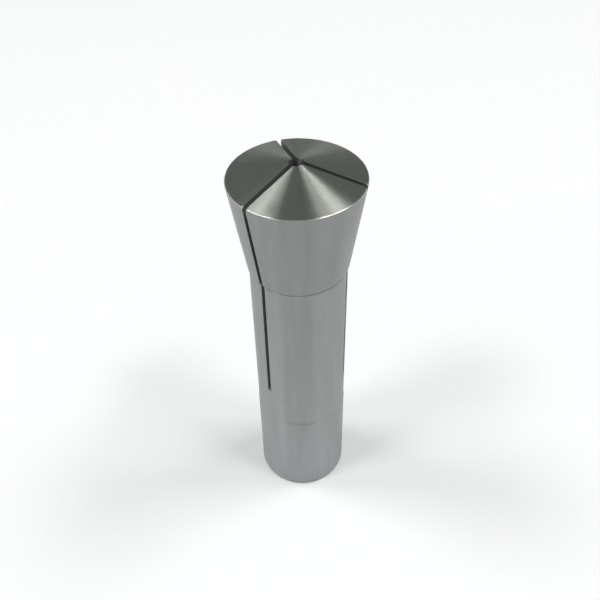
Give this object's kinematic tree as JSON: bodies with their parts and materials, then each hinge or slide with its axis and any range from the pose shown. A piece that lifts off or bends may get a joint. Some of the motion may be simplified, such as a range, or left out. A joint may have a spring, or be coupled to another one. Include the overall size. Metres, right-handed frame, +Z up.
{
  "type": "milling machine collet",
  "caption": "Slit spring collet for a milling machine spindle: conical nose with a small gripping bore, tapered head, plain ground shank with a keyway, and a threaded tail.",
  "frame": {"origin": "centre of the flat tail face, which the collet stands on", "axes": "+Z up the collet's axis from the tail to the nose; +Y towards the keyway and the slit in line with it"},
  "size_m": [0.0316, 0.0316, 0.1054],
  "materials": {
    "ground_steel": "hardened steel, ground along the shank and taper, fine turned on the nose"
  },
  "bodies": {
    "root": {"collet": "ground_steel"}
  },
  "joints": []
}
